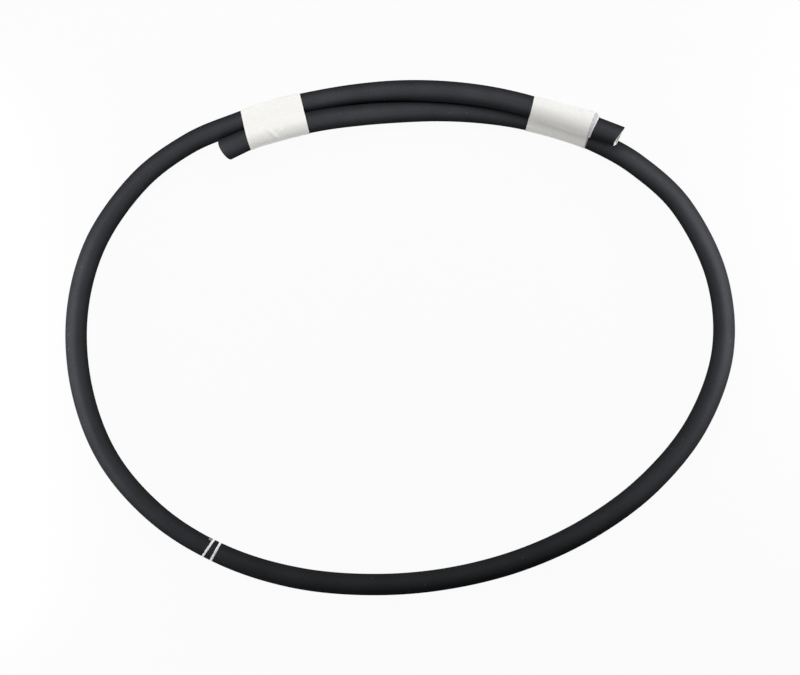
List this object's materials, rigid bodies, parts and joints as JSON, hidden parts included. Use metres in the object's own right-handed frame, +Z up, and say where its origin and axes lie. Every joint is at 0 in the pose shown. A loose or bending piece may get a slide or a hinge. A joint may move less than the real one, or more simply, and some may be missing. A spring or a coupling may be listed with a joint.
{
  "type": "soaker hose",
  "caption": "Dark porous rubber garden hose laid in an oval loop, its overlapping cut ends bound side by side by white tape, so that water seeps out all along it.",
  "frame": {"origin": "middle of the loop's box, on the floor that the hose lies on", "axes": "+Z up, +X along the oval towards the cut end that lies on top, +Y towards the overlapping ends"},
  "size_m": [0.5011, 0.3869, 0.0325],
  "materials": {
    "porous_rubber": "matt, finely grained recycled rubber",
    "white_tape": "satin white adhesive tape",
    "white_paint": "matt white marking paint"
  },
  "bodies": {
    "root": {"hose_loop": "porous_rubber", "hose_left_end": "porous_rubber", "hose_right_end": "porous_rubber", "left_tape_wrap": "white_tape", "right_tape_wrap": "white_tape", "mark_band_1": "white_paint", "mark_band_2": "white_paint"}
  },
  "joints": []
}
